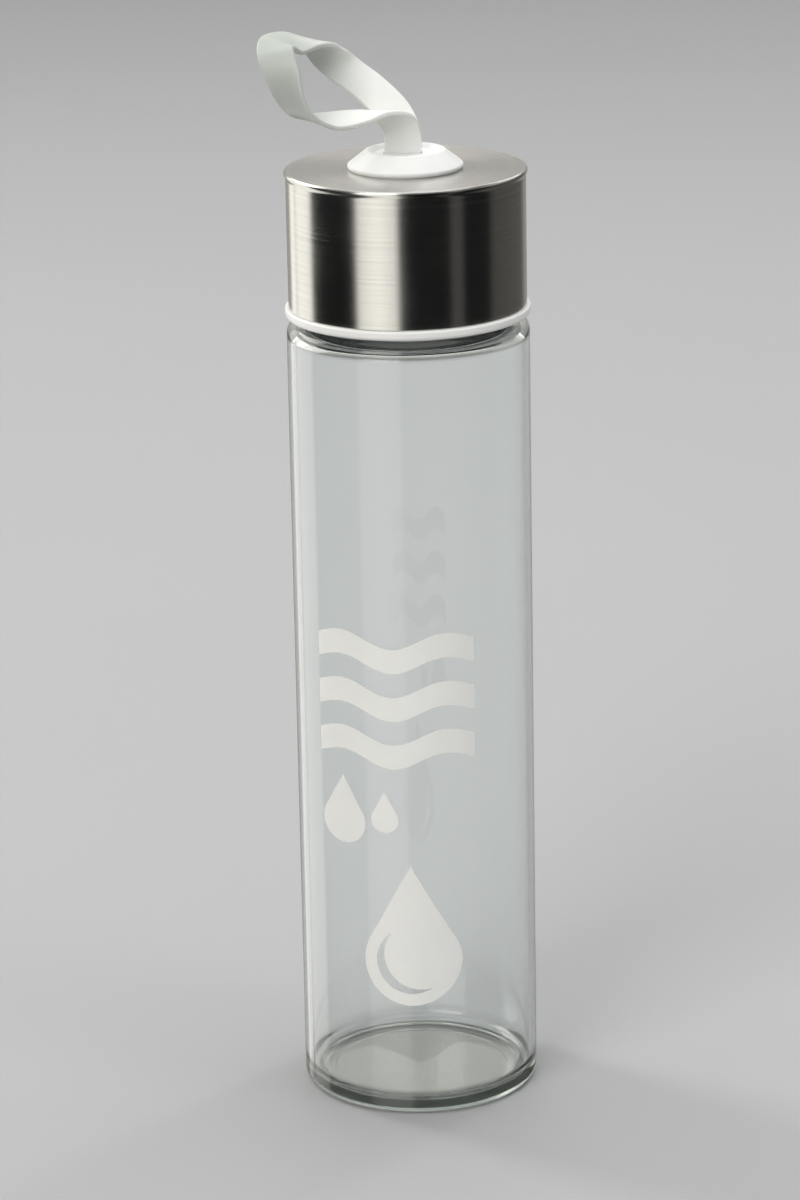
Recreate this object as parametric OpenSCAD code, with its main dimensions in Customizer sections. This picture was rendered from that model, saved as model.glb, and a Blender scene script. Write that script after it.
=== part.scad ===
// Clear glass water bottle with a screwed-on brushed steel lid and a soft carry strap.
// Millimetres, +Z up. The origin is the centre of the face that the bottle stands on, and -Y is the printed front.

/* [Glass] */
// Outer diameter of the glass tube
glass_d = 60; // [50:0.5:80]
// Wall of the glass tube
glass_wall = 1.8; // [1.4:0.1:3]
// Thickness of the glass floor
floor_t = 2.6; // [2:0.1:6]
// Height of the shoulder's top, where the neck starts
shoulder_z = 200.8; // [120:0.2:280]
// Radius of the shoulder
shoulder_r = 3.6; // [3:0.2:4.4]
// Radius of the outer corner at the foot
foot_r = 2.6; // [1.5:0.1:4]
// Radius of the inner corner at the floor
bowl_r = 4; // [2.5:0.5:8]

/* [Neck] */
// Wall of the neck
neck_wall = 2.4; // [1.8:0.1:3]
// Rise of the thread in one turn
thread_lead = 5; // [4:0.5:6]
// Height of the thread's ridge over its wall
thread_depth = 1.5; // [1:0.1:1.6]
// Width of the thread's ridge at its root
thread_root_w = 2; // [1.4:0.1:2.2]
// Width of the thread's ridge at its crest
thread_crest_w = 1; // [0.6:0.1:1.4]
// Turns of thread on the neck
neck_turns = 1.4; // [1:0.1:2]
// Turns of thread in the lid
lid_turns = 1.2; // [1:0.1:1.6]
// Height of the neck thread's start over the shoulder
neck_thread_z = 10; // [6:0.5:14]
// Free space between the neck's thread and the liner
thread_gap = 0.5; // [0.3:0.05:0.8]

/* [Lid] */
// Outer diameter of the steel shell
shell_d = 58.8; // [56:0.1:84]
// Height of the steel shell
shell_h = 34; // [30:0.5:40]
// Thickness of the steel sheet
shell_t = 0.6; // [0.4:0.1:1]
// How far the rolled edge at the top stands out
shell_lip = 0.4; // [0.2:0.1:0.8]
// Diameter of the hole for the strap
shell_hole_d = 16; // [12:0.5:20]
// Wall of the liner round the neck
liner_wall = 1.8; // [1.2:0.1:3]
// Height of the liner's flange that shows under the shell
flange_h = 2.3; // [1.6:0.1:4]
// How far the liner's flange stands out past the shell
flange_out = 0.9; // [0.4:0.1:1.4]
// Gap between the liner's flange and the shoulder of the glass
flange_gap = 0.9; // [0.5:0.1:2]
// Thickness of the liner's top
liner_top_t = 1.8; // [1.4:0.1:2.4]
// Thickness of the silicone seal
gasket_t = 1.9; // [1.4:0.1:2.4]
// Gap left between the seal and the neck's rim
gasket_gap = 0.1; // [0.05:0.05:0.3]

/* [Strap] */
// Diameter of the button at its foot
button_d = 28.4; // [24:0.2:34]
// Diameter of the button's dished top
button_top_d = 20.8; // [16:0.2:24]
// Height of the button over the lid
button_h = 4.6; // [3:0.1:6]
// Depth of the dish in the button's top
button_dish = 0.9; // [0.4:0.1:1.4]
// Width of the strap
strap_w = 9; // [7:0.5:11]
// Thickness of the strap
strap_t = 1.3; // [1:0.1:1.6]
// Gap at the strap's bend
bend_gap = 0.3; // [0.2:0.05:0.5]
// Diameter of the retaining washer under the lid
washer_d = 30; // [26:0.5:36]
// Thickness of the retaining washer
washer_t = 0.8; // [0.6:0.1:1.2]
// Diameter of the pin through the strap's ends
pin_d = 1.2; // [1:0.1:1.6]

/* [Print] */
// Height of the printed picture's lower edge
print_z = 30; // [20:1:60]
// Width of the printed picture
print_w = 39; // [20:1:46]
// Thickness of the printed ink
ink_t = 0.12; // [0.08:0.02:0.2]
// Turn of the picture's middle from the front
print_turn = -11; // [-30:1:30]

/* [Hidden] */
$fn = 96;

glass_r = glass_d / 2;
wall_r = glass_r - glass_wall;

// The lid's outside, from the shoulder of the glass up.
flange_z = shoulder_z + flange_gap;
flange_round = 0.5;
flange_bevel = 0.9;
shell_z = flange_z + flange_h;
lid_z = shell_z + shell_h;
shell_r = shell_d / 2;
shell_hole_r = shell_hole_d / 2;
shell_edge = 0.7;                        // radius of the rolled edge
shell_under_z = lid_z - shell_t;
flange_r = shell_r + flange_out;

// What hangs in the lid, from the shell's top down to the strap's tail.
button_r = button_d / 2;
button_top_r = button_top_d / 2;
button_edge = 0.5;
button_fit = 0.05;                       // running gap between the button and the shell
button_brim_t = 1.3;
button_wall = 0.8;                       // width of the raised ring round the dish
washer_r = washer_d / 2;
washer_z = shell_under_z - button_fit - button_brim_t - washer_t;
slot_gap = 0.2;                          // gap round the strap in the button and the washer
ply_gap = 0.1;                           // gap between the strap's two ends
stem_t = 2 * strap_t + ply_gap;
stem_x = -0.6;                           // the strap stands a little off centre
stem_tail = 1.1;                         // strap below the pin
tail_gap = 0.3;                          // between the strap's tail and the liner
pin_z = washer_z - pin_d / 2;
pin_l = stem_t + 6;
stem_z = pin_z - pin_d / 2 - stem_tail;
dish_z = button_h - button_dish;         // height of the dish over the lid
bend_r = strap_w / 2 + 0.2;              // the loop's round foot is a little wider than the strap
foot_gap = 0.2;                          // between the loop's round foot and the dish
bend_z = dish_z + foot_gap + bend_r;     // height of the strap's bend over the lid
spread = strap_w / 9;                    // a wider strap's legs stand further apart
leg_y = strap_t / 2 + 0.15;
root_y = spread * (strap_t / 2 + 0.35);  // middle of each leg where it leaves the round foot
knuckle_t = 2 * root_y + strap_t + 0.3;  // thickness of the round foot

// The liner and the seal under it, which set how high the neck's rim is.
deck_z = stem_z - tail_gap;
liner_top_z = deck_z - liner_top_t;
liner_r = shell_r - shell_t;
liner_bore_r = liner_r - liner_wall;
rib_w = 1.4;                             // ring on the liner that holds up the shell's top
rib_gap = 2;
gasket_seat = 0.05;                      // gap between the seal and the liner's top
gasket_z = liner_top_z - gasket_seat - gasket_t;

// The neck, which the liner screws on to.
rim_z = gasket_z - gasket_gap;
rim_round = 0.8;
neck_r = liner_bore_r - thread_gap - thread_depth;
neck_bore_r = neck_r - neck_wall;
neck_fillet = 1.2;                       // between the shoulder and the neck
thread_sunk = 0.4;                       // how deep a thread's root sits in its wall
thread_steps = 36;                       // steps in one turn of thread
thread_fade = 0.12;                      // turns over which a thread runs out at each end
lid_thread_z = shoulder_z + neck_thread_z + thread_lead / 2;
plug_h = 3;                              // lip of the liner that goes down into the neck
plug_t = 1;
plug_gap = 0.5;
plug_r = neck_bore_r - plug_gap;

// The strap's way from its front end round to its back end, as it has settled: x, y and height over the lid.
STRAP_WAY = [
    [stem_x, -leg_y, bend_z - 6], [stem_x, -root_y, bend_z], [-2.2, -2.6 * spread, 12.4],
    [-6.4, -4.8 * spread, 14.4],
    [-11.5, -6.6, 13.8], [-18, -9, 13.4], [-24, -12.5, 15.4], [-27.2, -13.5, 20],
    [-29, -13, 25.5], [-30.6, -10.4, 30], [-30.4, -6, 31.8], [-27.6, -1.5, 31.2],
    [-24, 2.8, 31], [-21, 5.8, 29.8], [-18.8, 7.5, 27], [-14.5, 7.8, 23],
    [-8.5, 6.4 * spread, 18.6], [-3.2, 3.6 * spread, 13.6], [stem_x, root_y, bend_z],
    [stem_x, leg_y, bend_z - 6]
];
// The direction of the strap's width at each of those places.
STRAP_LIE = [
    [1, 0, 0], [1, 0, 0], [0.9, -0.2, 0.2], [0.65, -0.7, 0.1],
    [0.55, -0.8, -0.15], [0.5, -0.85, -0.25], [0.55, -0.8, 0.1], [0.7, -0.65, 0.3],
    [0.9, -0.3, 0.3], [0.95, -0.15, 0.25], [0.95, -0.25, -0.2], [0.8, -0.4, -0.5],
    [0.8, -0.55, -0.25], [0.85, -0.45, 0], [0.9, -0.2, 0.3], [0.8, 0.4, 0.45],
    [0.8, 0.45, 0.4], [0.85, 0.35, 0.35], [1, 0, 0], [1, 0, 0]
];
STRAP_STEPS = 4;                         // steps from one place to the next

waves = 3;
wave_stroke = 6.2;
wave_rise = 2;
wave_pitch = 12.4;
waves_z = 68;                            // height of the lowest wave over the picture's lower edge
wave_steps = 40;
drop_steps = 60;
small_drop_z = 42;                       // heights of the two small drops over the picture's lower edge
tiny_drop_z = 46;

function unit(v) = v / norm(v);

// A point of the smooth curve through a list, between place i and the next.
function between(list, i, t) =
    let (a = list[i - 1], b = list[i], c = list[i + 1], d = list[i + 2])
    0.5 * (2 * b + (c - a) * t + (2 * a - 5 * b + 4 * c - d) * t * t + (3 * b - a - 3 * c + d) * t * t * t);

// The points of that curve from the list's second place to its last but one.
function smooth(list, steps) = [
    for (i = [1 : len(list) - 3], k = [0 : steps - 1]) between(list, i, k / steps),
    list[len(list) - 2]
];

// The triangles of a closed tube of rings that have the same number of points.
function tube_faces(rings, sides) = concat(
    [for (s = [1 : sides - 2]) [0, s + 1, s]],
    [for (r = [0 : rings - 2], s = [0 : sides - 1])
        let (a = r * sides + s, b = r * sides + (s + 1) % sides) [a, b, b + sides]],
    [for (r = [0 : rings - 2], s = [0 : sides - 1])
        let (a = r * sides + s, b = r * sides + (s + 1) % sides) [a, b + sides, a + sides]],
    [for (s = [1 : sides - 2]) let (e = (rings - 1) * sides) [e, e + s, e + s + 1]]
);

// A helical ridge on a wall of that radius. Side is 1 on an outer wall and -1 in a bore.
module thread(radius, side, turns, z) {
    steps = ceil(turns * thread_steps);
    root = radius - side * thread_sunk;
    points = [
        for (k = [0 : steps])
            let (
                fade = min(1, k / thread_steps / thread_fade, (steps - k) / thread_steps / thread_fade),
                crest = root + side * max(0.05, (thread_sunk + thread_depth) * fade),
                angle = 360 * k / thread_steps,
                level = z + k / thread_steps * thread_lead
            )
            for (corner = [[root, -thread_root_w], [crest, -thread_crest_w],
                           [crest, thread_crest_w], [root, thread_root_w]])
                [corner[0] * cos(angle), corner[0] * sin(angle), level + corner[1] / 2]
    ];
    faces = tube_faces(steps + 1, 4);
    polyhedron(points, side > 0 ? faces : [for (f = faces) [f[0], f[2], f[1]]]);
}

// Half the section of a round block, with its outer corners rounded.
module half_block(radius, low, high, low_round, high_round) {
    translate([0, low + low_round]) square([radius, high - low - low_round - high_round]);
    translate([0, low]) square([radius - low_round, low_round + 0.01]);
    translate([0, high - high_round - 0.01]) square([radius - high_round, high_round + 0.01]);
    if (low_round > 0) translate([radius - low_round, low + low_round]) circle(low_round);
    if (high_round > 0) translate([radius - high_round, high - high_round]) circle(high_round);
}

// A slot for the strap's two ends, cut through everything from one height to another.
module strap_slot(low, high) {
    size = [strap_w + 2 * slot_gap, stem_t + 2 * slot_gap];
    translate([stem_x - size[0] / 2, -size[1] / 2, low]) cube([size[0], size[1], high - low]);
}

module bottle_section() {
    difference() {
        union() {
            half_block(glass_r, 0, shoulder_z, foot_r, shoulder_r);
            half_block(neck_r, shoulder_z - 1, rim_z, 0, rim_round);
            difference() {
                translate([0, shoulder_z - 0.5]) square([neck_r + neck_fillet, neck_fillet + 0.5]);
                translate([neck_r + neck_fillet, shoulder_z + neck_fillet]) circle(neck_fillet);
            }
        }
        half_block(wall_r, floor_t, shoulder_z - neck_wall, bowl_r, shoulder_r - 1);
        translate([0, floor_t + bowl_r]) square([neck_bore_r, rim_z]);
    }
}

module glass_bottle() {
    color([0.86, 0.9, 0.88, 0.35]) union() {
        rotate_extrude() bottle_section();
        thread(neck_r, 1, neck_turns, shoulder_z + neck_thread_z);
    }
}

// A flat picture laid on the front of the glass as a film of ink.
module ink_on_glass(low, high) {
    intersection() {
        rotate([0, 0, print_turn]) rotate([90, 0, 0]) linear_extrude(glass_d) children();
        translate([0, 0, low]) difference() {
            cylinder(r = glass_r + ink_t, h = high - low);
            translate([0, 0, -1]) cylinder(r = glass_r, h = high - low + 2);
        }
    }
}

// One wavy band, as wide as the picture.
module wave() {
    line = [for (k = [0 : wave_steps]) [print_w * (k / wave_steps - 0.5), wave_rise * sin(540 * k / wave_steps)]];
    upper = [for (p = line) p + [0, wave_stroke / 2]];
    lower = [for (k = [wave_steps : -1 : 0]) line[k] - [0, wave_stroke / 2]];
    polygon(concat(upper, lower));
}

module printed_waves() {
    low = print_z + waves_z;
    color([0.92, 0.92, 0.88]) ink_on_glass(low - wave_stroke, low + waves * wave_pitch)
        for (k = [0 : waves - 1]) translate([0, low + k * wave_pitch]) wave();
}

// A drop of that radius, which stands on height 0: a round belly that runs straight up to its tip.
module drop(radius) {
    tip = 2.1 * radius;
    belly = 360 - acos(radius / tip) * 2;
    arc = [for (k = [0 : drop_steps]) 90 + (360 - belly) / 2 + belly * k / drop_steps];
    translate([0, radius]) polygon(concat([[0, tip]], [for (a = arc) radius * [cos(a), sin(a)]]));
}

module printed_drops() {
    big = 0.31 * print_w;
    color([0.92, 0.92, 0.88]) ink_on_glass(print_z - 1, print_z + waves_z) {
        difference() {
            translate([0.1 * print_w, print_z]) drop(big);
            translate([0.1 * print_w, print_z + big]) difference() {
                circle(0.74 * big);
                translate([0.2 * big, 0.14 * big]) circle(0.78 * big);
            }
        }
        translate([-0.34 * print_w, print_z + small_drop_z]) drop(0.15 * print_w);
        translate([-0.06 * print_w, print_z + tiny_drop_z]) drop(0.09 * print_w);
    }
}

module lid_shell() {
    color([0.7, 0.7, 0.7]) rotate_extrude() difference() {
        union() {
            half_block(shell_r, shell_z, lid_z, 0, shell_edge);
            translate([shell_r + shell_lip - shell_edge, lid_z - shell_edge]) circle(shell_edge);
        }
        half_block(liner_r, shell_z - 1, shell_under_z, 0, shell_edge);
        translate([0, shell_under_z - 1]) square([shell_hole_r, shell_t + 2]);
    }
}

module liner_section() {
    difference() {
        union() {
            half_block(flange_r, flange_z, shell_z, flange_bevel, flange_round);
            translate([0, shell_z - 0.01]) square([liner_r, deck_z - shell_z + 0.01]);
        }
        translate([0, flange_z - 1]) square([liner_bore_r, liner_top_z - flange_z + 1]);
    }
    translate([plug_r - plug_t, rim_z - plug_h]) square([plug_t, liner_top_z - rim_z + plug_h + 0.01]);
    translate([washer_r + rib_gap, deck_z - 0.01]) square([rib_w, shell_under_z - deck_z + 0.01]);
}

module lid_liner() {
    color([0.93, 0.93, 0.91]) union() {
        rotate_extrude() liner_section();
        thread(liner_bore_r, -1, lid_turns, lid_thread_z);
    }
}

module lid_gasket() {
    color([0.85, 0.87, 0.85]) translate([0, 0, gasket_z]) difference() {
        cylinder(r = liner_bore_r - button_fit, h = gasket_t);
        translate([0, 0, -1]) cylinder(r = plug_r + button_fit, h = gasket_t + 2);
    }
}

module button_section() {
    foot_z = lid_z + button_fit;
    top_z = lid_z + button_h;
    polygon([
        [0, foot_z], [button_r - button_edge, foot_z], [button_r, foot_z + button_edge],
        [button_r, foot_z + 2 * button_edge], [button_top_r, top_z - button_edge],
        [button_top_r - button_edge, top_z], [button_top_r - button_wall, top_z],
        [button_top_r - button_wall - button_dish, lid_z + dish_z], [0, lid_z + dish_z]
    ]);
    translate([0, washer_z + washer_t]) square([shell_hole_r - button_fit, lid_z - washer_z]);
    translate([0, washer_z + washer_t]) square([washer_r, button_brim_t]);
}

module strap_button() {
    color([0.93, 0.93, 0.92]) difference() {
        rotate_extrude() button_section();
        strap_slot(washer_z, lid_z + button_h + 1);
    }
}

module strap_washer() {
    color([0.75, 0.75, 0.76]) difference() {
        translate([0, 0, washer_z]) cylinder(r = washer_r, h = washer_t);
        strap_slot(washer_z - 1, washer_z + washer_t + 1);
    }
}

module strap_pin() {
    color([0.75, 0.75, 0.76]) translate([stem_x, pin_l / 2, pin_z]) rotate([90, 0, 0])
        cylinder(d = pin_d, h = pin_l);
}

// The strap's two ends, one behind the other, as far up as the place where the strap bends.
module strap_stem() {
    color([0.9, 0.91, 0.89]) difference() {
        for (side = [-1, 1])
            translate([stem_x - strap_w / 2, side * (strap_t + ply_gap) / 2 - strap_t / 2, stem_z])
                cube([strap_w, strap_t, lid_z + bend_z - stem_z]);
        translate([stem_x, stem_t, lid_z + bend_z]) rotate([90, 0, 0])
            cylinder(r = bend_r + bend_gap, h = 2 * stem_t);
        translate([stem_x, stem_t, pin_z]) rotate([90, 0, 0]) cylinder(d = pin_d, h = 2 * stem_t);
    }
}

module strap_loop() {
    way = smooth(STRAP_WAY, STRAP_STEPS);
    lie = smooth(STRAP_LIE, STRAP_STEPS);
    last = len(way) - 1;
    rings = [
        for (k = [0 : last])
            let (
                ahead = unit(way[min(k + 1, last)] - way[max(k - 1, 0)]),
                across = unit(lie[k] - (lie[k] * ahead) * ahead) * strap_w / 2,
                out = unit(cross(ahead, across)) * strap_t / 2
            )
            each [way[k] + across + out, way[k] + across - out, way[k] - across - out, way[k] - across + out]
    ];
    color([0.88, 0.9, 0.88]) translate([0, 0, lid_z]) {
        translate([stem_x, knuckle_t / 2, bend_z]) rotate([90, 0, 0]) cylinder(r = bend_r, h = knuckle_t);
        polyhedron(rings, tube_faces(last + 1, 4));
    }
}

glass_bottle();
printed_waves();
printed_drops();
lid_shell();
lid_liner();
lid_gasket();
strap_button();
strap_washer();
strap_pin();
strap_stem();
strap_loop();
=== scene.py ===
"""A clear glass water bottle with a brushed steel screw lid and a soft carry strap, put together from the
glass up: bottle, print, liner, seal, steel shell, button with its fixings, strap, and then the studio."""

import math

import bpy
from mathutils import Matrix, Vector


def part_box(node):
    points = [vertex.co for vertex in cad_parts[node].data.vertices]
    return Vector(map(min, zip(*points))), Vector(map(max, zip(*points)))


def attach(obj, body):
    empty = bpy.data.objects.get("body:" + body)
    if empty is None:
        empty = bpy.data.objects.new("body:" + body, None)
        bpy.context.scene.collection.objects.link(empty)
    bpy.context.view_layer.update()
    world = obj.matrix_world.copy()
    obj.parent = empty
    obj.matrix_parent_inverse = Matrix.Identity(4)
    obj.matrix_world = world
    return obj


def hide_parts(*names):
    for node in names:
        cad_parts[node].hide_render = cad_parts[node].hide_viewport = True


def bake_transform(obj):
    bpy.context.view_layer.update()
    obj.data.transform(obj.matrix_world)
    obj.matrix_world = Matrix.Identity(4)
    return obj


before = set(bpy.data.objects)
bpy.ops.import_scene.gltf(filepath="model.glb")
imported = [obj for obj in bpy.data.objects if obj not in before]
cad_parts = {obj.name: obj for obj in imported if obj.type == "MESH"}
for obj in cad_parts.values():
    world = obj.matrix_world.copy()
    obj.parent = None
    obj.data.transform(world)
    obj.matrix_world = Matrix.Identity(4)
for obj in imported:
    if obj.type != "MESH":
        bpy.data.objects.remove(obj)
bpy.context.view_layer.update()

# ---------------------------------------------------------------------------------------------------------
# The glass bottle: one piece of clear borosilicate tube, 60 mm across, with a pressed flat foot, a tight
# shoulder and a narrower neck that carries a moulded screw thread. It is turned here from its half outline.
# ---------------------------------------------------------------------------------------------------------
mm = 0.001


class Wire:
    """A socket of a node tree. Arithmetic on it adds Math nodes, and node() adds a node of any other kind."""

    def __init__(self, tree, socket=None):
        self.tree = tree
        self.socket = socket

    def node(self, kind, settings=None, values=None, out=0):
        """A new node with these settings and these socket values or wires. Returns one of its outputs."""
        made = self.tree.nodes.new(kind)
        settings = dict(settings or {})
        stops = settings.pop("stops", None)
        for name, value in settings.items():
            setattr(made, name, value)
        if stops:
            ramp = made.color_ramp
            while len(ramp.elements) < len(stops):
                ramp.elements.new(0.5)
            for element, (place, colour) in zip(ramp.elements, stops):
                element.position = place
                element.color = (*colour, 1)
        for name, value in (values or {}).items():
            if isinstance(value, Wire):
                self.tree.links.new(value.socket, made.inputs[name])
            else:
                made.inputs[name].default_value = value
        return Wire(self.tree, made.outputs[out])

    def out(self, name):
        """Another output of the same node."""
        return Wire(self.tree, self.socket.node.outputs[name])

    def math(self, operation, *values):
        """A Math node on these values, which are wires or numbers."""
        return self.node("ShaderNodeMath", {"operation": operation}, dict(enumerate(values)))

    def __add__(self, other):
        return self.math("ADD", self, other)

    def __radd__(self, other):
        return self.math("ADD", other, self)

    def __sub__(self, other):
        return self.math("SUBTRACT", self, other)

    def __rsub__(self, other):
        return self.math("SUBTRACT", other, self)

    def __mul__(self, other):
        return self.math("MULTIPLY", self, other)

    def __rmul__(self, other):
        return self.math("MULTIPLY", other, self)

    def __truediv__(self, other):
        return self.math("DIVIDE", self, other)

    def __pow__(self, other):
        return self.math("POWER", self, other)

    def __gt__(self, other):
        return self.math("GREATER_THAN", self, other)

    def __lt__(self, other):
        return self.math("LESS_THAN", self, other)

    def clamp(self):
        """The value, held between 0 and 1."""
        return self.math("MAXIMUM", 0, self.math("MINIMUM", 1, self))


def finish(name, recipe, volume=None, veil=None):
    """A material of one principled shader. recipe(place) gives its socket values and wires by name, and
    veil(place) gives how much of a second one lies over it, and that one's values."""
    made = bpy.data.materials.new(name)
    made.use_nodes = True
    tree = made.node_tree
    tree.nodes.clear()
    place = Wire(tree).node("ShaderNodeTexCoord", out="Object")
    surface = place.node("ShaderNodeBsdfPrincipled", None, recipe(place))
    if veil:
        amount, values = veil(place)
        over = place.node("ShaderNodeBsdfPrincipled", None, values)
        surface = place.node("ShaderNodeMixShader", None, {0: amount, 1: surface, 2: over})
    end = tree.nodes.new("ShaderNodeOutputMaterial")
    tree.links.new(surface.socket, end.inputs["Surface"])
    if volume:
        inside = place.node("ShaderNodeVolumeAbsorption", None, volume)
        tree.links.new(inside.socket, end.inputs["Volume"])
    return made


def noise(place, scale, detail=2.0, share=(1, 1, 1)):
    """Noise from 0 to 1 with that many bumps to the metre, or that share of them along each axis."""
    spread = place.node("ShaderNodeMapping", None, {"Vector": place, "Scale": share})
    return place.node("ShaderNodeTexNoise", None, {"Vector": spread, "Scale": scale, "Detail": detail})


def mixed(amount, first, second):
    """A colour that goes from the first to the second as the amount goes from 0 to 1."""
    start, end = [colour if isinstance(colour, Wire) else (*colour, 1) for colour in (first, second)]
    return amount.node("ShaderNodeMix", {"data_type": "RGBA"}, {0: amount, 6: start, 7: end}, out=2)


def bump(height, strength, distance):
    """The normal of a skin whose height goes up and down by that distance, at that strength."""
    return height.node("ShaderNodeBump", None, {"Height": height, "Strength": strength, "Distance": distance})


def arc(centre_r, centre_z, radius, start, end, steps=8):
    """Outline points on an arc, from one angle to another, where 0 points away from the axis and 90 up."""
    turns = [math.radians(start + (end - start) * k / steps) for k in range(steps + 1)]
    return [(centre_r + radius * math.cos(t), centre_z + radius * math.sin(t)) for t in turns]


def line(start, end, pitch):
    """Outline points along a straight stretch, about that far apart, without its two ends. The first and the
    last are close to the ends, so that the stretch stays flat beside a round."""
    steps = max(1, round(math.dist(start, end) / pitch))
    near = 0.02                     # how close, as a share of a step
    shares = [near / steps] + [k / steps for k in range(1, steps)] + [1 - near / steps]
    return [(start[0] + (end[0] - start[0]) * s, start[1] + (end[1] - start[1]) * s) for s in shares]


def outline(*stretches, pitch):
    """Joins arcs and corners by straight stretches with a point at about every pitch."""
    parts = [stretch if isinstance(stretch, list) else [stretch] for stretch in stretches]
    points = parts[0][:1]
    for part in parts:
        if math.dist(points[-1], part[0]) > 0.05 * mm:
            points += line(points[-1], part[0], pitch)
        points += part if points[-1] != part[0] else part[1:]
    return points


def turning_tree():
    """Turns an outline, drawn in X and Z, about the Z axis. Where its thread attribute isn't 0, a helical
    ridge of that height stands out from the wall, or into a bore where it is negative."""
    tree = bpy.data.node_groups.new("turned part", "GeometryNodeTree")
    tree.interface.new_socket("Outline", in_out="INPUT", socket_type="NodeSocketGeometry")
    for name in ("Steps", "Lead", "Start", "Turns", "Root width", "Crest width"):
        kind = "NodeSocketInt" if name == "Steps" else "NodeSocketFloat"
        tree.interface.new_socket(name, in_out="INPUT", socket_type=kind)
    tree.interface.new_socket("Material", in_out="INPUT", socket_type="NodeSocketMaterial")
    tree.interface.new_socket("Part", in_out="OUTPUT", socket_type="NodeSocketGeometry")
    given = Wire(tree).node("NodeGroupInput", out="Outline")
    steps = given.out("Steps")
    count = given.node("GeometryNodeAttributeDomainSize", None, {"Geometry": given}, out="Point Count")
    columns = steps + 1
    sheet = given.node("GeometryNodeMeshGrid", None, {"Size X": 1.0, "Size Y": 1.0, "Vertices X": count,
                                                      "Vertices Y": columns}, out="Mesh")
    index = given.node("GeometryNodeInputIndex")
    row = index.math("FLOOR", (index + 0.5) / columns)
    turn = (index - row * columns) / steps

    def at_row(kind, field):
        """What the field says at the outline's point for this row."""
        return given.node("GeometryNodeSampleIndex", {"data_type": kind, "domain": "POINT"},
                          {"Geometry": given, "Value": field, "Index": row})

    drawn = at_row("FLOAT_VECTOR", given.node("GeometryNodeInputPosition"))
    wall = given.node("ShaderNodeSeparateXYZ", None, {"Vector": drawn}, out="X")
    level = wall.out("Z")
    thread = given.node("GeometryNodeInputNamedAttribute", {"data_type": "FLOAT"}, {"Name": "thread"})
    height = at_row("FLOAT", thread)
    rise = (level - given.out("Start")) / given.out("Lead") - turn
    whole = rise.math("ROUND", rise)
    off = rise.math("ABSOLUTE", rise - whole) * given.out("Lead")
    root = given.out("Root width") * 0.5
    crest = given.out("Crest width") * 0.5
    flank = ((root - off) / (root - crest)).clamp()
    travelled = whole + turn
    fade_turns = 0.12
    fade_in = (travelled / fade_turns).clamp()
    fade_out = ((given.out("Turns") - travelled) / fade_turns).clamp()
    ridge = flank * flank * (3 - 2 * flank) * fade_in * fade_out * height
    radius = wall + ridge
    angle = turn * math.tau
    place = given.node("ShaderNodeCombineXYZ", None, {"X": radius * angle.math("COSINE", angle),
                                                      "Y": radius * angle.math("SINE", angle), "Z": level})
    bent = given.node("GeometryNodeSetPosition", None, {"Geometry": sheet, "Position": place})
    closed = given.node("GeometryNodeMergeByDistance", None, {"Geometry": bent, "Distance": 0.001 * mm})
    outward = given.node("GeometryNodeFlipFaces", None, {"Mesh": closed})
    real = given.node("GeometryNodeRealizeInstances", None, {"Geometry": outward})
    done = given.node("GeometryNodeSetMaterial", None, {"Geometry": real, "Material": given.out("Material")})
    end = tree.nodes.new("NodeGroupOutput")
    tree.links.new(done.socket, end.inputs["Part"])
    return tree


def grown(name, start_mesh, tree, material, **values):
    """The plain mesh object that a node tree makes from a start mesh, with its inputs set by name."""
    seed = bpy.data.objects.new(name + "_seed", start_mesh)
    bpy.context.scene.collection.objects.link(seed)
    modifier = seed.modifiers.new("tree", "NODES")
    modifier.node_group = tree
    values["material"] = material
    inputs = {item.name: item.identifier for item in tree.interface.items_tree if item.in_out == "INPUT"}
    for key, value in values.items():
        modifier[inputs[key.replace("_", " ").capitalize()]] = value
    graph = bpy.context.evaluated_depsgraph_get()
    mesh = bpy.data.meshes.new_from_object(seed.evaluated_get(graph))
    mesh.name = name
    mesh.polygons.foreach_set("material_index", [0] * len(mesh.polygons))
    mesh.materials.clear()
    mesh.materials.append(material)
    seed.modifiers.remove(modifier)
    bpy.data.objects.remove(seed)
    made = bpy.data.objects.new(name, mesh)
    bpy.context.scene.collection.objects.link(made)
    return made


def smooth(piece, crease=40):
    """Smooth faces, with sharp edges where two faces meet at more than that many degrees."""
    piece.data.polygons.foreach_set("use_smooth", [True] * len(piece.data.polygons))
    piece.data.set_sharp_from_angle(angle=math.radians(crease))


def route_mesh(name, points):
    """A mesh that is only a line through these points."""
    mesh = bpy.data.meshes.new(name)
    mesh.from_pydata(points, [(k, k + 1) for k in range(len(points) - 1)], [])
    return mesh


def turned(name, points, material, steps=192, threaded=None, depth=0.0, start=0.0, turns=1.0):
    """A turned part from its half outline. threaded is the radius, foot and head of a wall that carries a
    thread of that depth, which starts at a height and goes round so many times."""
    mesh = route_mesh(name + "_outline", [(r, 0, z) for r, z in points])
    heights = [0.0] * len(points)
    if threaded:
        radius, foot, head = threaded
        heights = [depth if abs(r - radius) < 0.01 * mm and foot < z < head else 0.0 for r, z in points]
    mesh.attributes.new("thread", "FLOAT", "POINT").data.foreach_set("value", heights)
    made = grown(name, mesh, turning, material, steps=steps, lead=thread_lead, start=start, turns=turns,
                 root_width=thread_root_w, crest_width=thread_crest_w)
    smooth(made)
    return made


turning = turning_tree()

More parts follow.
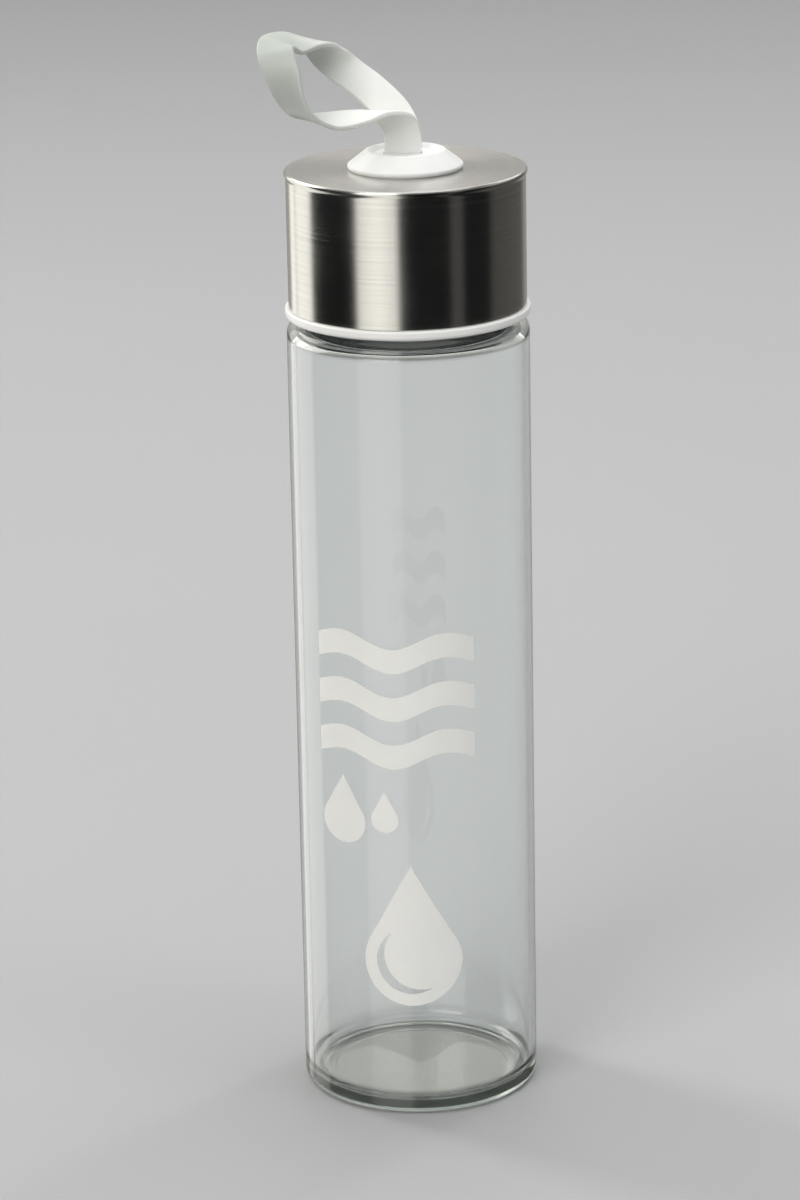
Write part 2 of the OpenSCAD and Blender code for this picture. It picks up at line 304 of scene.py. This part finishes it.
glass_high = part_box("glass_bottle")[1]
glass_r = glass_high.x
rim_z = glass_high.z
shoulder_z = rim_z - 28 * mm
glass_wall = 1.8 * mm
floor_t = 2.6 * mm
foot_r = 2.6 * mm
bowl_r = 4 * mm
punt = 0.4 * mm                     # how far the middle of the foot is pushed up
stand_w = 5 * mm                    # width of the ring that the bottle stands on
shoulder_r = 3.6 * mm
inner_shoulder_r = 2.6 * mm
neck_r = 25 * mm
neck_wall = 2.4 * mm
neck_bore_r = neck_r - neck_wall
neck_fillet = 1.2 * mm
rim_round = 0.8 * mm
mouth_round = 1.2 * mm              # where the neck's bore opens into the body
thread_lead = 5 * mm
thread_depth = 1.5 * mm
thread_root_w = 2 * mm
thread_crest_w = 1 * mm
stipple_z = 0.06 * mm               # what touches the table is stippled up to here
haze_z = 1.6 * mm                   # and the underside has a haze up to here
rub_z = shoulder_z - 0.1 * mm       # from here up the lid rubs the glass
wall_r = glass_r - glass_wall
inner_top_z = shoulder_z - neck_wall

glass_outline = outline(
    (0, punt),
    arc(glass_r - foot_r - stand_w, punt * 3, punt * 2.6, 250, 270, 4),
    arc(glass_r - foot_r, foot_r, foot_r, 270, 360, 10),
    arc(glass_r - shoulder_r, shoulder_z - shoulder_r, shoulder_r, 0, 90, 10),
    arc(neck_r + neck_fillet, shoulder_z + neck_fillet, neck_fillet, 270, 180, 6),
    pitch=4 * mm,
)
glass_outline += outline(
    (neck_r, shoulder_z + neck_fillet), arc(neck_r - rim_round, rim_z - rim_round, rim_round, 0, 90, 6),
    pitch=0.3 * mm,
)[1:]
glass_outline += outline(
    (neck_r - rim_round, rim_z),
    arc(neck_bore_r + rim_round, rim_z - rim_round, rim_round, 90, 180, 6),
    arc(neck_bore_r + mouth_round, inner_top_z + mouth_round, mouth_round, 180, 270, 6),
    arc(wall_r - inner_shoulder_r, inner_top_z - inner_shoulder_r, inner_shoulder_r, 90, 0, 8),
    arc(wall_r - bowl_r, floor_t + bowl_r, bowl_r, 0, -90, 16),
    (0, floor_t),
    pitch=4 * mm,
)[1:]


def clear_glass(place):
    """Polished clear glass with the faintest film of wiped water marks on it."""
    film = noise(place, 90, 3, (1, 1, 0.35))
    marks = noise(place, 420, 2)
    return {
        "Base Color": mixed(film, (0.988, 1.0, 0.994), (0.970, 0.990, 0.980)),
        "Roughness": (film - 0.45).clamp() * 0.05 + (marks > 0.66) * 0.012,
        "Transmission Weight": 1.0,
        "IOR": 1.474,
        "Normal": bump(noise(place, 26, 1, (1, 1, 0.3)), 0.12, 0.4 * mm),
    }


def dulled_glass(place):
    """The ring that the bottle stands on is stippled, the rest of the underside has a light haze, and the
    neck is dull where the lid rubs it."""
    level = place.node("ShaderNodeSeparateXYZ", None, {"Vector": place}, out="Z")
    speckle = noise(place, 1800, 2)
    amount = (level < haze_z) * 0.14 + (level < stipple_z) * 0.5 * speckle + (level > rub_z) * 0.3 * speckle
    return amount, {"Base Color": mixed(speckle, (0.72, 0.76, 0.74), (0.86, 0.88, 0.86)), "Roughness": 0.5}


glass_tint = {"Color": (0.40, 0.72, 0.62, 1), "Density": 7.0}
glass = finish("clear_glass", clear_glass, glass_tint, dulled_glass)
threaded_neck = (neck_r, shoulder_z + 2 * mm, rim_z - 2 * mm)
bottle = turned("bottle_glass", glass_outline, glass, threaded=threaded_neck, depth=thread_depth,
                start=shoulder_z + 10 * mm, turns=1.4)
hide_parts("glass_bottle")
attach(bottle, "bottle")

# ---------------------------------------------------------------------------------------------------------
# The print: a picture of three waves and three drops, screen-printed on the front of the glass in off-white
# enamel ink and fired on. The film is a tenth of a millimetre thick, with tiny pinholes and a satin surface.
# ---------------------------------------------------------------------------------------------------------


def fired_ink(place):
    """Satin enamel, faintly clouded, with the glass showing darker through its pinholes."""
    grain = noise(place, 2600, 2)
    cloud = noise(place, 120, 2)
    pinholes = noise(place, 5200, 1) > 0.74
    tone = (cloud * 0.7 + grain * 0.3).clamp()
    return {
        "Base Color": mixed((tone - pinholes * 0.25).clamp(), (0.80, 0.80, 0.765), (0.88, 0.88, 0.845)),
        "Roughness": 0.42 + grain * 0.16,
        "Coat Weight": 0.12,
        "Normal": bump(grain, 0.25, 0.05 * mm),
    }


def dress(names, material):
    """Gives pieces that keep the shape of the design their material."""
    for name in names:
        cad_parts[name].data.materials.clear()
        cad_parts[name].data.materials.append(material)


dress(("printed_waves", "printed_drops"), finish("white_ink", fired_ink))

# ---------------------------------------------------------------------------------------------------------
# The liner: a moulded white polypropylene cup that screws on the neck. It carries the thread in its bore, a
# lip that goes down into the neck, and the flange that shows as a white ring under the steel.
# ---------------------------------------------------------------------------------------------------------
liner_low, liner_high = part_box("lid_liner")
shell_low, shell_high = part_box("lid_shell")
seal_low, seal_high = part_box("lid_gasket")
flange_z = liner_low.z
shell_z = shell_low.z
lid_z = shell_high.z
flange_r = liner_high.x
shell_lip = 0.4 * mm
shell_t = 0.6 * mm
shell_r = shell_high.x - shell_lip
shell_under_z = lid_z - shell_t
liner_r = shell_r - shell_t
liner_bore_r = liner_r - 1.8 * mm
liner_top_z = seal_high.z + 0.05 * mm
deck_z = liner_top_z + 1.8 * mm
flange_bevel = 0.9 * mm
flange_round = 0.5 * mm
plug_r = neck_bore_r - 0.5 * mm
plug_t = 1 * mm
plug_z = rim_z - 3 * mm
rib_r = 17 * mm                     # inner radius of the ring that holds up the steel
rib_w = 1.4 * mm
mould_round = 0.3 * mm

liner_outline = outline(
    (0, liner_top_z), (plug_r - plug_t, liner_top_z),
    arc(plug_r - plug_t + mould_round, plug_z + mould_round, mould_round, 180, 270, 3),
    arc(plug_r - mould_round, plug_z + mould_round, mould_round, 270, 360, 3),
    (plug_r, liner_top_z), (liner_bore_r, liner_top_z),
    pitch=3 * mm,
)
liner_outline += outline(
    (liner_bore_r, liner_top_z), (liner_bore_r, flange_z + mould_round),
    pitch=0.3 * mm,
)[1:]
liner_outline += outline(
    arc(liner_bore_r + mould_round, flange_z + mould_round, mould_round, 180, 270, 3),
    arc(flange_r - flange_bevel, flange_z + flange_bevel, flange_bevel, 270, 360, 8),
    arc(flange_r - flange_round, shell_z - flange_round, flange_round, 0, 90, 6),
    (liner_r, shell_z),
    arc(liner_r - mould_round, deck_z - mould_round, mould_round, 0, 90, 3),
    (rib_r + rib_w, deck_z), (rib_r + rib_w, shell_under_z), (rib_r, shell_under_z), (rib_r, deck_z),
    (0, deck_z),
    pitch=3 * mm,
)[1:]


def moulded_white(place):
    """Glossy moulded plastic, faintly clouded, with the fine tooling lines of its mould round it."""
    cloud = noise(place, 160, 3)
    tooling = noise(place, 700, 1, (0.02, 0.02, 1))
    return {
        "Base Color": mixed(cloud, (0.80, 0.80, 0.775), (0.87, 0.87, 0.845)),
        "Roughness": 0.26 + cloud * 0.1 + tooling * 0.06,
        "Subsurface Weight": 0.25,
        "Subsurface Radius": (1.0, 0.9, 0.8),
        "Subsurface Scale": 1.2 * mm,
        "Normal": bump(tooling, 0.08, 0.05 * mm),
    }


white_plastic = finish("white_liner", moulded_white)
threaded_bore = (liner_bore_r, flange_z + 1 * mm, liner_top_z - 2 * mm)
liner = turned("liner_cup", liner_outline, white_plastic, threaded=threaded_bore, depth=-thread_depth,
               start=shoulder_z + 12.5 * mm, turns=1.2)
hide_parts("lid_liner")
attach(liner, "lid")

# ---------------------------------------------------------------------------------------------------------
# The seal: a soft clear silicone ring, punched square and pressed into the top of the liner, where the rim
# of the neck closes against it. It has a shallow groove in its face.
# ---------------------------------------------------------------------------------------------------------
seal_inner_r = plug_r + 0.05 * mm
seal_outer_r = liner_bore_r - 0.05 * mm
seal_round = 0.35 * mm
groove_r = (seal_inner_r + seal_outer_r) / 2
groove_depth = 0.5 * mm

seal_outline = outline(
    arc(seal_inner_r + seal_round, seal_low.z + seal_round, seal_round, 180, 270, 5),
    arc(groove_r, seal_low.z, groove_depth, 180, 0, 8),
    arc(seal_outer_r - seal_round, seal_low.z + seal_round, seal_round, 270, 360, 5),
    arc(seal_outer_r - seal_round, seal_high.z - seal_round, seal_round, 0, 90, 5),
    arc(seal_inner_r + seal_round, seal_high.z - seal_round, seal_round, 90, 180, 5),
    (seal_inner_r, seal_low.z + seal_round),
    pitch=1 * mm,
)


def soft_clear(place):
    """Clear silicone, slightly cloudy and satin."""
    cloud = noise(place, 300, 2)
    return {
        "Base Color": mixed(cloud, (0.74, 0.77, 0.75), (0.84, 0.86, 0.84)),
        "Roughness": 0.35 + cloud * 0.15,
        "Transmission Weight": 0.35,
        "IOR": 1.41,
        "Subsurface Weight": 0.3,
        "Subsurface Scale": 2 * mm,
        "Normal": bump(cloud, 0.1, 0.05 * mm),
    }


seal = turned("seal_ring", seal_outline, finish("clear_silicone", soft_clear), steps=160)
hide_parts("lid_gasket")
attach(seal, "seal")

# ---------------------------------------------------------------------------------------------------------
# The steel shell: a cup of stainless sheet, drawn, pressed over the liner and brushed round on a lathe, so
# that fine lines run round its wall and its top. Its upper edge is rolled out a little.
# ---------------------------------------------------------------------------------------------------------
hole_r = 8 * mm
hem = 0.2 * mm                      # round at the cut edges of the sheet
roll_r = 0.7 * mm                   # radius of the rolled upper edge
roll_drop = 1.9 * mm                # how far under the top the wall starts to flare
roll_in = roll_r - shell_t + 0.1 * mm
flare_steps = 8
flare = [(shell_r + shell_lip * (3 * s * s - 2 * s ** 3), lid_z - roll_drop + (roll_drop - roll_r) * s)
         for s in [k / flare_steps for k in range(flare_steps)]]
line_stretch = 0.004                # the brushed lines change this much slower round the lid than across

shell_outline = outline(
    arc(liner_r + hem, shell_z + hem, hem, 180, 270, 3),
    arc(shell_r - hem, shell_z + hem, hem, 270, 360, 3),
    flare + arc(shell_r + shell_lip - roll_r, lid_z - roll_r, roll_r, 0, 90, 10),
    arc(hole_r + hem, lid_z - hem, hem, 90, 180, 3),
    arc(hole_r + hem, shell_under_z + hem, hem, 180, 270, 3),
    arc(liner_r - roll_in, shell_under_z - roll_in, roll_in, 90, 0, 4),
    (liner_r, shell_z + hem),
    pitch=3 * mm,
)


def brushed_steel(place):
    """Lines that run round the lid: noise that changes fast along the wall and across the top, and slowly
    round the axis. Broad lines lie among the fine ones, with a few scuffs."""
    x = place.node("ShaderNodeSeparateXYZ", None, {"Vector": place}, out="X")
    y = x.out("Y")
    across = x.out("Z") + (x * x + y * y) ** 0.5
    ring = place.node("ShaderNodeCombineXYZ", None,
                      {"X": x * line_stretch, "Y": y * line_stretch, "Z": across})
    fine = noise(ring, 9000, 2)
    broad = noise(ring, 1500, 3)
    scuffs = noise(place, 60, 4)
    tone = (fine * 0.55 + broad * 0.45).clamp()
    return {
        "Base Color": mixed(tone, (0.50, 0.49, 0.47), (0.80, 0.79, 0.765)),
        "Metallic": 1.0,
        "Roughness": 0.14 + fine * 0.1 + broad * 0.05 + (scuffs - 0.4).clamp() * 0.1,
        "Anisotropic": 0.75,
        "Anisotropic Rotation": 0.25,
        "Normal": bump(fine * 0.5 + broad * 0.5, 0.24, 0.03 * mm),
    }


steel = finish("brushed_steel", brushed_steel)
shell = turned("steel_shell", shell_outline, steel, steps=256)
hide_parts("lid_shell")
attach(shell, "lid")

# ---------------------------------------------------------------------------------------------------------
# The button: a white silicone plug that closes the hole in the lid and holds the strap. It is moulded as a
# blunt cone with a raised ring round a shallow dish, and a slot through the dish lets the strap out.
# ---------------------------------------------------------------------------------------------------------
button_low, button_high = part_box("strap_button")
button_r = 14.2 * mm
button_top_r = 10.4 * mm
button_foot_z = lid_z + 0.05 * mm
button_top_z = button_high.z
dish_z = button_top_z - 0.9 * mm
brim_r = button_high.x
brim_t = 1.3 * mm
foot_round = 0.7 * mm
crown_r = 1.05 * mm                 # round of the raised ring
dish_round = 0.8 * mm
slot_w = 9.4 * mm
slot_t = 3.1 * mm
slot_round = 0.6 * mm
strap_x = -0.6 * mm                 # the strap stands a little off centre

button_outline = outline(
    (0, button_low.z), (brim_r, button_low.z), (brim_r, button_low.z + brim_t),
    (hole_r - 0.05 * mm, button_low.z + brim_t), (hole_r - 0.05 * mm, button_foot_z),
    (button_r - 0.3 * mm, button_foot_z),
    arc(button_r - foot_round, button_foot_z + foot_round, foot_round, -40, 42, 6),
    arc(button_top_r - crown_r, button_top_z - crown_r, crown_r, 42, 128, 10),
    arc(button_top_r - 3.1 * mm, dish_z + dish_round, dish_round, -40, -90, 6),
    (0, dish_z),
    pitch=1.5 * mm,
)


def soft_white(place):
    """Satin silicone: almost white, faintly clouded, with a fine moulded grain."""
    cloud = noise(place, 220, 3)
    grain = noise(place, 2400, 2)
    return {
        "Base Color": mixed(cloud, (0.70, 0.705, 0.69), (0.78, 0.785, 0.77)),
        "Roughness": 0.36 + cloud * 0.12 + grain * 0.06,
        "Subsurface Weight": 0.25,
        "Subsurface Radius": (1.0, 0.95, 0.85),
        "Subsurface Scale": 1.5 * mm,
        "Normal": bump(grain, 0.12, 0.04 * mm),
    }


def slotted(piece, low, high):
    """Cuts the strap's slot through a turned piece, from one height to another."""
    corner_x = slot_w / 2 - slot_round
    corner_y = slot_t / 2 - slot_round
    ring = []
    for quarter, (side, face) in enumerate(((1, 1), (-1, 1), (-1, -1), (1, -1))):
        start = quarter * 90
        ring += arc(strap_x + side * corner_x, face * corner_y, slot_round, start, start + 90, 4)
    corners = [(x, y, low) for x, y in ring] + [(x, y, high) for x, y in ring]
    count = len(ring)
    sides = [(k, (k + 1) % count, (k + 1) % count + count, k + count) for k in range(count)]
    mesh = bpy.data.meshes.new("slot_cutter")
    mesh.from_pydata(corners, [], sides + [tuple(reversed(range(count))), tuple(range(count, 2 * count))])
    cutter = bpy.data.objects.new("slot_cutter", mesh)
    bpy.context.scene.collection.objects.link(cutter)
    cut = piece.modifiers.new("slot", "BOOLEAN")
    cut.operation = "DIFFERENCE"
    cut.solver = "EXACT"
    cut.object = cutter
    graph = bpy.context.evaluated_depsgraph_get()
    cut_mesh = bpy.data.meshes.new_from_object(piece.evaluated_get(graph))
    cut_mesh.polygons.foreach_set("material_index", [0] * len(cut_mesh.polygons))
    piece.modifiers.remove(cut)
    piece.data = cut_mesh
    bpy.data.objects.remove(cutter)
    smooth(piece)


button = turned("strap_button_moulding", button_outline, finish("white_silicone", soft_white), steps=128)
slotted(button, button_low.z - 1 * mm, button_top_z + 1 * mm)
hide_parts("strap_button")
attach(button, "button")

# ---------------------------------------------------------------------------------------------------------
# The fixings in the lid: a slotted steel washer under the button, and a steel pin through the strap's two
# ends under the washer, so that a pull on the strap is carried by the lid.
# ---------------------------------------------------------------------------------------------------------


def rolled_steel(place):
    """Plain sheet and wire, with faint lines from the rolls."""
    grain = noise(place, 900, 3, (1, 0.15, 0.15))
    return {
        "Base Color": mixed(grain, (0.48, 0.48, 0.47), (0.60, 0.60, 0.59)),
        "Metallic": 1.0,
        "Roughness": 0.28 + grain * 0.18,
        "Normal": bump(grain, 0.1, 0.02 * mm),
    }


dress(("strap_washer", "strap_pin"), finish("plain_steel", rolled_steel))

# ---------------------------------------------------------------------------------------------------------
# The strap: one band of milky silicone, 9 mm wide and 1.3 mm thick, folded into a loop. Both of its ends go
# down through the button, and the loop has flopped over to the left with half a twist in it.
# ---------------------------------------------------------------------------------------------------------
strap_w = 9 * mm
strap_t = 1.3 * mm
strap_round = 0.42 * mm
fade_x = -7 * mm                    # the band's colour is painted greyer and darker from here to the left
fade_w = 20 * mm
ply_y = 0.7                         # from here on, all the route is in millimetres over the lid
root_y = 1.0
bend_z = 8.6
stem_low = (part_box("strap_stem")[0].z - lid_z) / mm

strap_way = [
    (-0.6, -ply_y, stem_low), (-0.6, -ply_y, -1), (-0.6, -ply_y, 3.2),
    (-0.6, -root_y, bend_z), (-2.2, -2.6, 12.4), (-6.4, -4.8, 14.4),
    (-11.5, -6.6, 13.8), (-18, -9, 13.4), (-24, -12.5, 15.4), (-27.2, -13.5, 20),
    (-29, -13, 25.5), (-30.6, -10.4, 30), (-30.4, -6, 31.8), (-27.6, -1.5, 31.2),
    (-24, 2.8, 31), (-21, 5.8, 29.8), (-18.8, 7.5, 27), (-14.5, 7.8, 23),
    (-8.5, 6.4, 18.6), (-3.2, 3.6, 13.6), (-0.6, root_y, bend_z),
    (-0.6, ply_y, 3.2), (-0.6, ply_y, -1), (-0.6, ply_y, stem_low),
]
strap_lie = [
    (1, 0, 0), (1, 0, 0), (1, 0, 0),
    (1, 0, 0), (0.9, -0.2, 0.2), (0.65, -0.7, 0.1),
    (0.55, -0.8, -0.15), (0.5, -0.85, -0.25), (0.55, -0.8, 0.1), (0.7, -0.65, 0.3),
    (0.9, -0.3, 0.3), (0.95, -0.15, 0.25), (0.95, -0.25, -0.2), (0.8, -0.4, -0.5),
    (0.8, -0.55, -0.25), (0.85, -0.45, 0), (0.9, -0.2, 0.3), (0.8, 0.4, 0.45),
    (0.8, 0.45, 0.4), (0.85, 0.35, 0.35), (1, 0, 0),
    (1, 0, 0), (1, 0, 0), (1, 0, 0),
]


def sweep_tree():
    """A band of rounded rectangular section along a smooth curve through the start mesh's points. The band's
    width lies along each point's lie attribute."""
    tree = bpy.data.node_groups.new("band along a route", "GeometryNodeTree")
    tree.interface.new_socket("Route", in_out="INPUT", socket_type="NodeSocketGeometry")
    for name in ("Width", "Thickness", "Edge"):
        tree.interface.new_socket(name, in_out="INPUT", socket_type="NodeSocketFloat")
    tree.interface.new_socket("Steps", in_out="INPUT", socket_type="NodeSocketInt")
    tree.interface.new_socket("Material", in_out="INPUT", socket_type="NodeSocketMaterial")
    tree.interface.new_socket("Band", in_out="OUTPUT", socket_type="NodeSocketGeometry")
    given = Wire(tree).node("NodeGroupInput", out="Route")
    curve = given.node("GeometryNodeMeshToCurve", None, {"Mesh": given})
    rounded = given.node("GeometryNodeCurveSplineType", {"spline_type": "CATMULL_ROM"}, {"Curve": curve})
    fine = given.node("GeometryNodeSetSplineResolution", None,
                      {"Geometry": rounded, "Resolution": given.out("Steps")})
    lie = given.node("GeometryNodeInputNamedAttribute", {"data_type": "FLOAT_VECTOR"}, {"Name": "lie"})
    laid = given.node("GeometryNodeSetCurveNormal", {"mode": "FREE"}, {"Curve": fine, "Normal": lie})
    section = given.node("GeometryNodeCurvePrimitiveQuadrilateral", None,
                         {"Width": given.out("Width"), "Height": given.out("Thickness")})
    soft = given.node("GeometryNodeFilletCurve", {"mode": "POLY"},
                      {"Curve": section, "Radius": given.out("Edge"), "Count": 4})
    swept = given.node("GeometryNodeCurveToMesh", None,
                       {"Curve": laid, "Profile Curve": soft, "Fill Caps": True})
    real = given.node("GeometryNodeRealizeInstances", None, {"Geometry": swept})
    done = given.node("GeometryNodeSetMaterial", None, {"Geometry": real, "Material": given.out("Material")})
    end = tree.nodes.new("NodeGroupOutput")
    tree.links.new(done.socket, end.inputs["Band"])
    return tree


def milky_silicone(place):
    """Milky silicone: cream-white where it comes out of the button, painted greyer and darker out along the
    loop to the left, with a satin, faintly clouded skin."""
    along = place.node("ShaderNodeSeparateXYZ", None, {"Vector": place}, out="X")
    far = ((fade_x - along) / fade_w).clamp()
    cloud = noise(place, 160, 3)
    grain = noise(place, 2000, 2)
    return {
        # painted: the base colour goes greyer and darker towards the far left end of the loop
        "Base Color": mixed((far * 0.85 + cloud * 0.2).clamp(), (0.90, 0.90, 0.87), (0.46, 0.49, 0.455)),
        "Roughness": 0.3 + cloud * 0.1 + grain * 0.06,
        "Transmission Weight": 0.12,
        "IOR": 1.41,
        "Subsurface Weight": 0.3,
        "Subsurface Radius": (1.0, 1.0, 0.9),
        "Subsurface Scale": 2 * mm,
        "Normal": bump(grain, 0.08, 0.04 * mm),
    }


route = route_mesh("strap_route", [(x * mm, y * mm, lid_z + z * mm) for x, y, z in strap_way])
lie = route.attributes.new("lie", "FLOAT_VECTOR", "POINT")
lie.data.foreach_set("vector", [part for direction in strap_lie for part in direction])
strap = grown("strap_band", route, sweep_tree(), finish("milky_silicone", milky_silicone),
              width=strap_w, thickness=strap_t, edge=strap_round, steps=12)
smooth(strap, 50)
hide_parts("strap_stem", "strap_loop")
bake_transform(strap)

# ---------------------------------------------------------------------------------------------------------
# The studio: a plain pale floor, a warm soft box to the front left, a tall strip behind on each side, a weak
# fill to the right and a large soft light overhead. The steel mirrors a plain room with a few bright bands.
# ---------------------------------------------------------------------------------------------------------
floor_half = 6.0
floor_mesh = bpy.data.meshes.new("studio_floor")
floor_mesh.from_pydata([(-floor_half, -floor_half, 0), (floor_half, -floor_half, 0),
                        (floor_half, floor_half, 0), (-floor_half, floor_half, 0)], [], [(0, 1, 2, 3)])
floor = bpy.data.objects.new("studio_floor", floor_mesh)
bpy.context.scene.collection.objects.link(floor)


def pale_floor(place):
    """Matt paper, hardly clouded."""
    cloud = noise(place, 3, 3)
    return {"Base Color": mixed(cloud, (0.36, 0.36, 0.365), (0.385, 0.385, 0.39)), "Roughness": 0.6}


floor_mesh.materials.append(finish("pale_floor", pale_floor))
floor.visible_glossy = False


def soft_light(name, azimuth, elevation, distance, width, height, power, colour=(1, 1, 1)):
    """An area light that faces the bottle's middle, from azimuth degrees to the right of the front."""
    data = bpy.data.lights.new(name, "AREA")
    data.shape = "RECTANGLE"
    data.size = width
    data.size_y = height
    data.energy = power
    data.color = colour
    light = bpy.data.objects.new(name, data)
    turn, rise = math.radians(azimuth), math.radians(elevation)
    aim = Vector((0, 0, 0.5 * lid_z))
    way = Vector((math.sin(turn) * math.cos(rise), -math.cos(turn) * math.cos(rise), math.sin(rise)))
    light.location = aim + way * distance
    light.rotation_mode = "QUATERNION"
    light.rotation_quaternion = way.to_track_quat("Z", "Y")
    light.visible_camera = False
    light.visible_glossy = False
    light.visible_transmission = False
    bpy.context.scene.collection.objects.link(light)


soft_light("soft_box_left", -32, 34, 1.9, 0.9, 1.1, 20, (1.0, 0.98, 0.95))
soft_light("overhead", 150, 78, 1.8, 1.8, 1.8, 23)
soft_light("fill_right", 62, 30, 2.0, 0.7, 1.0, 6, (0.95, 0.97, 1.0))
soft_light("strip_back_left", -128, 36, 1.8, 0.35, 1.0, 12)
soft_light("strip_back_right", 140, 36, 1.9, 0.25, 1.0, 6)


def studio_room():
    """The room that the steel and the glass mirror, bright and dark by direction; all else sees it plain."""
    world = bpy.data.worlds.new("studio_room")
    bpy.context.scene.world = world
    world.use_nodes = True
    tree = world.node_tree
    tree.nodes.clear()
    way = Wire(tree).node("ShaderNodeTexCoord", out="Generated")
    sideways = way.node("ShaderNodeSeparateXYZ", None, {"Vector": way}, out="X")
    azimuth = way.math("ARCTAN2", sideways, sideways.out("Y") * -1) / math.tau + 0.5
    height = sideways.out("Z")
    # Places round the room, with how bright it is there: 0 is behind, 0.25 left, 0.5 in front, 0.75 right.
    walls = [
        (0.0, 0.26), (0.08, 0.26), (0.092, 1.0), (0.120, 1.0), (0.128, 0.45), (0.136, 1.0), (0.203, 0.95),
        (0.217, 0.006), (0.356, 0.006), (0.368, 0.76), (0.42, 0.95), (0.471, 0.72), (0.482, 0.02),
        (0.51, 0.004), (0.614, 0.004), (0.624, 0.055), (0.65, 0.055), (0.66, 0.005), (0.735, 0.008),
        (0.755, 0.055), (0.90, 0.085), (0.93, 0.24), (1.0, 0.26),
    ]
    greenish, creamy = (0.80, 1.0, 0.92), (1.0, 0.98, 0.92)
    darkest = 0.04                  # less bright than this, the room is greenish
    stops = []
    for place, value in walls:
        tint = greenish if value < darkest else creamy
        stops.append((place, tuple(value * part for part in tint)))
    bands = way.node("ShaderNodeValToRGB", {"stops": stops}, {"Fac": azimuth})
    lamp = height > 0.84
    window = (height > 0.36) * (height < 0.66)
    lit = (height * 4).clamp() * 0.12 + lamp * 0.88
    room = mixed(lit, bands, (0.33, 0.33, 0.32))
    strength = 1.35 + (height > 0.05) * 0.4 + window * 4.5 + lamp * 2
    glossy = way.node("ShaderNodeLightPath", out="Is Glossy Ray")
    mirrored = way.node("ShaderNodeBackground", None, {"Color": room, "Strength": strength})
    plain = way.node("ShaderNodeBackground", None, {"Color": (0.80, 0.81, 0.83, 1), "Strength": 0.35})
    both = way.node("ShaderNodeMixShader", None, {0: glossy, 1: plain, 2: mirrored})
    end = tree.nodes.new("ShaderNodeOutputWorld")
    tree.links.new(both.socket, end.inputs["Surface"])


studio_room()

# The camera stands a metre in front and almost twice as high as the lid, and looks down with a long lens.
camera_place = (0, -1.01956, 0.44251)
yaw, pitch, roll = math.radians(-0.185), math.radians(17.163), math.radians(-1.076)
camera_data = bpy.data.cameras.new("camera")
camera_data.sensor_fit = "VERTICAL"
camera_data.sensor_height = 36
camera_data.sensor_width = 36
camera_data.lens = 127.23
camera_data.clip_start = 0.05
camera_data.clip_end = 60
camera = bpy.data.objects.new("camera", camera_data)
ahead = Vector((math.sin(yaw) * math.cos(pitch), math.cos(yaw) * math.cos(pitch), -math.sin(pitch)))
level_right = ahead.cross(Vector((0, 0, 1))).normalized()
level_up = level_right.cross(ahead)
right = level_right * math.cos(roll) + level_up * math.sin(roll)
up = right.cross(ahead)
facing = Matrix((right, up, -ahead)).transposed()
camera.matrix_world = Matrix.Translation(camera_place) @ facing.to_4x4()
bpy.context.scene.collection.objects.link(camera)
bpy.context.scene.camera = camera
bpy.context.scene.view_settings.view_transform = "Standard"
